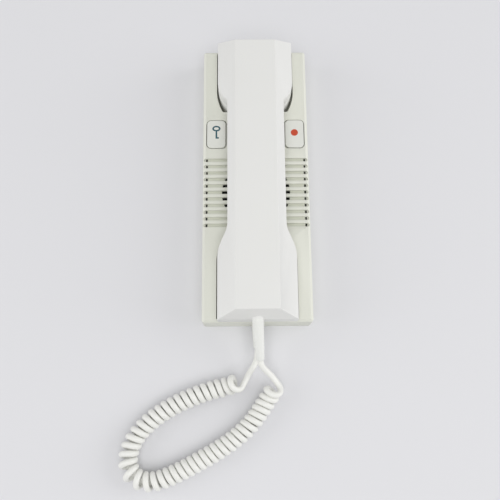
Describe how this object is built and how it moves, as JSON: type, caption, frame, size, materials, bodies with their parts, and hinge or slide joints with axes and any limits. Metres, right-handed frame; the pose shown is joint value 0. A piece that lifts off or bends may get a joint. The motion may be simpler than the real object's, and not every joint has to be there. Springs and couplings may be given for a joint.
{
  "type": "desk intercom station",
  "caption": "Lift-off handset lying along a slim slotted base with two push buttons, joined to it by a long curly cord",
  "frame": {"origin": "middle of the back face of the base, which lies on the desk", "axes": "+X to the right in the picture across the width, +Y along the length towards the ear end, +Z out of the front, up when it lies on its back"},
  "size_m": [0.1378, 0.3311, 0.0474],
  "materials": {
    "base_plastic": "fine satin moulded, aged off-white",
    "handset_plastic": "fine satin moulded, off-white",
    "button_plastic": "smooth moulded, off-white",
    "shadow_plastic": "moulded, off-white",
    "baffle_plastic": "moulded, dull off-white",
    "lever_plastic": "moulded acetal, off-white",
    "dark_plastic": "moulded, black",
    "red_mark": "second-shot inlay, orange red",
    "teal_mark": "second-shot inlay, grey green",
    "zinc_steel": "zinc plated",
    "spring_steel": "drawn wire",
    "screw_brass": "turned",
    "magnet_iron": "sintered, dark grey",
    "capsule_can": "drawn can",
    "capacitor_can": "drawn can",
    "cone_paper": "pressed pulp, black",
    "board_laminate": "paper laminate, brown",
    "resistor_body": "lacquered",
    "cord_jacket": "smooth moulded jacket, off-white",
    "boot_rubber": "smooth moulded, off-white",
    "wire_jacket": "smooth jacket, grey",
    "soft_rubber": "moulded, black"
  },
  "bodies": {
    "base": {"wall_plate": "shadow_plastic", "front_cover": "base_plastic", "cover_screws": "zinc_steel", "grille_baffle": "baffle_plastic", "speaker_basket": "zinc_steel", "speaker_cone": "cone_paper", "speaker_magnet": "magnet_iron", "speaker_clips": "zinc_steel", "speaker_screws": "zinc_steel", "circuit_board": "board_laminate", "board_screws": "zinc_steel", "terminal_block": "dark_plastic", "terminal_screws": "screw_brass", "board_capacitors": "capacitor_can", "board_relay": "dark_plastic", "board_resistors": "resistor_body", "cord_connector": "dark_plastic", "call_switch": "dark_plastic", "door_switch": "dark_plastic", "call_button_spring": "spring_steel", "door_button_spring": "spring_steel", "hook_pin": "spring_steel", "hook_spring": "spring_steel", "hook_switch": "dark_plastic", "cord_clamp": "dark_plastic", "clamp_screws": "zinc_steel", "base_cord_tail": "cord_jacket", "base_cord_boot": "boot_rubber", "base_lead": "cord_jacket", "cord_coil": "cord_jacket", "handset_lead": "cord_jacket"},
    "handset": {"handset_outer_shell": "handset_plastic", "handset_inner_shell": "handset_plastic", "handset_screws": "zinc_steel", "ear_cap": "handset_plastic", "mouth_cap": "handset_plastic", "receiver_gasket": "soft_rubber", "receiver_capsule": "capsule_can", "microphone_cup": "soft_rubber", "microphone_capsule": "capsule_can", "ballast_weight": "magnet_iron", "handset_wire": "wire_jacket", "handset_cord_boot": "boot_rubber"},
    "call_button": {"call_button": "button_plastic", "call_button_dot": "red_mark"},
    "door_button": {"door_button": "button_plastic", "door_button_key": "teal_mark"},
    "hook_lever": {"hook_lever": "lever_plastic"}
  },
  "joints": [
    {"name": "handset_lift", "type": "slide", "parent": "base", "child": "handset", "axis": [0, 0, 1], "range_m": [0, 0.06]},
    {"name": "hook_swing", "type": "hinge", "parent": "base", "child": "hook_lever", "pos_m": [0, 0.044, 0.0056], "axis": [1, 0, 0], "range_deg": [0, 12]},
    {"name": "call_press", "type": "slide", "parent": "base", "child": "call_button", "axis": [0, 0, -1], "range_m": [0, 0.0016], "stiffness_N_per_m": 400, "springref_m": -0.002, "deforming": ["call_button_spring"]},
    {"name": "door_press", "type": "slide", "parent": "base", "child": "door_button", "axis": [0, 0, -1], "range_m": [0, 0.0016], "stiffness_N_per_m": 400, "springref_m": -0.002, "deforming": ["door_button_spring"]}
  ],
  "couplings": [
    {"joint": "hook_swing", "follows": "handset_lift", "rad_per_m": 3.49}
  ]
}
